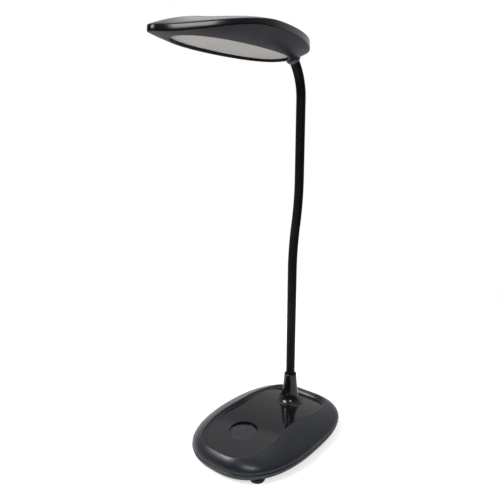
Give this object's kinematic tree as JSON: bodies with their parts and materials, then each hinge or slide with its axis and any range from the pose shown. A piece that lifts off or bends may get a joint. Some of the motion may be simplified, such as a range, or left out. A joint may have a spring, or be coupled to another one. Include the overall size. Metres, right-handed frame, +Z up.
{
  "type": "gooseneck desk lamp",
  "caption": "Desk lamp with a weighted pebble-shaped base, push button, flexible gooseneck and a slim leaf-shaped light head.",
  "frame": {"origin": "middle of the bounding box, on the plane that the feet stand on", "axes": "+Z up along the neck, -Y to the front, where the head points, +X to the lamp's own left"},
  "size_m": [0.106, 0.1979, 0.349],
  "materials": {
    "satin_body": "satin black moulded plastic",
    "gloss_panel": "gloss black moulded panel",
    "gloss_button": "gloss black dished cap",
    "gloss_collar": "gloss black",
    "gloss_head": "gloss black dome and band",
    "satin_head": "satin dark blue-grey",
    "steel": "zinc-plated steel",
    "core_steel": "steel gooseneck core",
    "screws": "zinc-plated steel",
    "contact_metal": "nickel-plated brass contact",
    "rubber_feet": "soft black rubber",
    "sleeve_rubber": "smooth black sleeve",
    "switch_plastic": "black",
    "jack_plastic": "black",
    "circuit_board": "green solder mask",
    "components": "black component bodies",
    "lead_insulation": "red insulated lead",
    "socket_plastic": "mid grey moulded bush",
    "diffuser_plastic": "frosted warm white diffuser",
    "led_board_white": "white solder mask on aluminium",
    "led_lens": "yellow phosphor"
  },
  "bodies": {
    "base": {"base_top_cover": "satin_body", "base_panel": "gloss_panel", "base_bottom_cover": "satin_body", "ballast_plate": "steel", "base_feet": "rubber_feet", "base_screws": "screws", "tactile_switch": "switch_plastic", "control_board": "circuit_board", "board_parts": "components", "board_screws": "screws", "dc_jack": "jack_plastic", "dc_jack_pin": "contact_metal", "base_leads": "lead_insulation", "neck_bracket": "steel", "bracket_screws": "screws", "neck_nut": "steel", "neck_collar": "gloss_collar", "neck_ferrule_lower": "core_steel", "neck_sleeve": "sleeve_rubber", "neck_lead": "lead_insulation"},
    "button": {"power_button": "gloss_button", "switch_plunger": "switch_plastic"},
    "neck_1": {"neck_link_1": "core_steel"},
    "neck_2": {"neck_link_2": "core_steel"},
    "neck_3": {"neck_link_3": "core_steel"},
    "neck_4": {"neck_link_4": "core_steel"},
    "neck_5": {"neck_link_5": "core_steel"},
    "neck_6": {"neck_link_6": "core_steel"},
    "neck_7": {"neck_link_7": "core_steel"},
    "neck_8": {"neck_link_8": "core_steel"},
    "neck_9": {"neck_link_9": "core_steel"},
    "head": {"neck_ferrule_upper": "core_steel", "neck_socket": "socket_plastic", "head_nut": "steel", "head_frame": "satin_head", "head_top_cover": "gloss_head", "diffuser": "diffuser_plastic", "led_board": "led_board_white", "led_emitters": "led_lens", "head_screws": "screws", "head_lead": "lead_insulation"}
  },
  "joints": [
    {"name": "button_press", "type": "slide", "parent": "base", "child": "button", "axis": [0, 0, -1], "range_m": [0, 0.0008], "stiffness_N_per_m": 1500, "springref_m": -0.0004},
    {"name": "neck_bend_1_pitch", "type": "hinge", "parent": "base", "child": "neck_1", "pos_m": [0, 0.06, 0.062], "axis": [1, 0, 0], "range_deg": [-20, 20], "deforming": ["neck_sleeve", "neck_lead"]},
    {"name": "neck_bend_2_roll", "type": "hinge", "parent": "neck_1", "child": "neck_2", "pos_m": [0, 0.06, 0.08878], "axis": [0, 1, 0], "range_deg": [-20, 20], "deforming": ["neck_sleeve", "neck_lead"]},
    {"name": "neck_bend_3_pitch", "type": "hinge", "parent": "neck_2", "child": "neck_3", "pos_m": [0, 0.06, 0.11556], "axis": [1, 0, 0], "range_deg": [-20, 20], "deforming": ["neck_sleeve", "neck_lead"]},
    {"name": "neck_bend_4_roll", "type": "hinge", "parent": "neck_3", "child": "neck_4", "pos_m": [0, 0.06, 0.14233], "axis": [0, 1, 0], "range_deg": [-20, 20], "deforming": ["neck_sleeve", "neck_lead"]},
    {"name": "neck_bend_5_pitch", "type": "hinge", "parent": "neck_4", "child": "neck_5", "pos_m": [0, 0.06085, 0.16911], "axis": [1, 0, 0], "range_deg": [-20, 20], "deforming": ["neck_sleeve", "neck_lead"]},
    {"name": "neck_bend_6_roll", "type": "hinge", "parent": "neck_5", "child": "neck_6", "pos_m": [0, 0.06491, 0.19589], "axis": [0, 1, 0], "range_deg": [-20, 20], "deforming": ["neck_sleeve", "neck_lead"]},
    {"name": "neck_bend_7_pitch", "type": "hinge", "parent": "neck_6", "child": "neck_7", "pos_m": [0, 0.06815, 0.22267], "axis": [1, 0, 0], "range_deg": [-20, 20], "deforming": ["neck_sleeve", "neck_lead"]},
    {"name": "neck_bend_8_roll", "type": "hinge", "parent": "neck_7", "child": "neck_8", "pos_m": [0, 0.0685, 0.24944], "axis": [0, 1, 0], "range_deg": [-20, 20], "deforming": ["neck_sleeve", "neck_lead"]},
    {"name": "neck_bend_9_pitch", "type": "hinge", "parent": "neck_8", "child": "neck_9", "pos_m": [0, 0.0685, 0.27622], "axis": [1, 0, 0], "range_deg": [-20, 20], "deforming": ["neck_sleeve", "neck_lead"]},
    {"name": "neck_bend_10_roll", "type": "hinge", "parent": "neck_9", "child": "head", "pos_m": [0, 0.0685, 0.303], "axis": [0, 1, 0], "range_deg": [-20, 20], "deforming": ["neck_sleeve", "neck_lead"]}
  ]
}
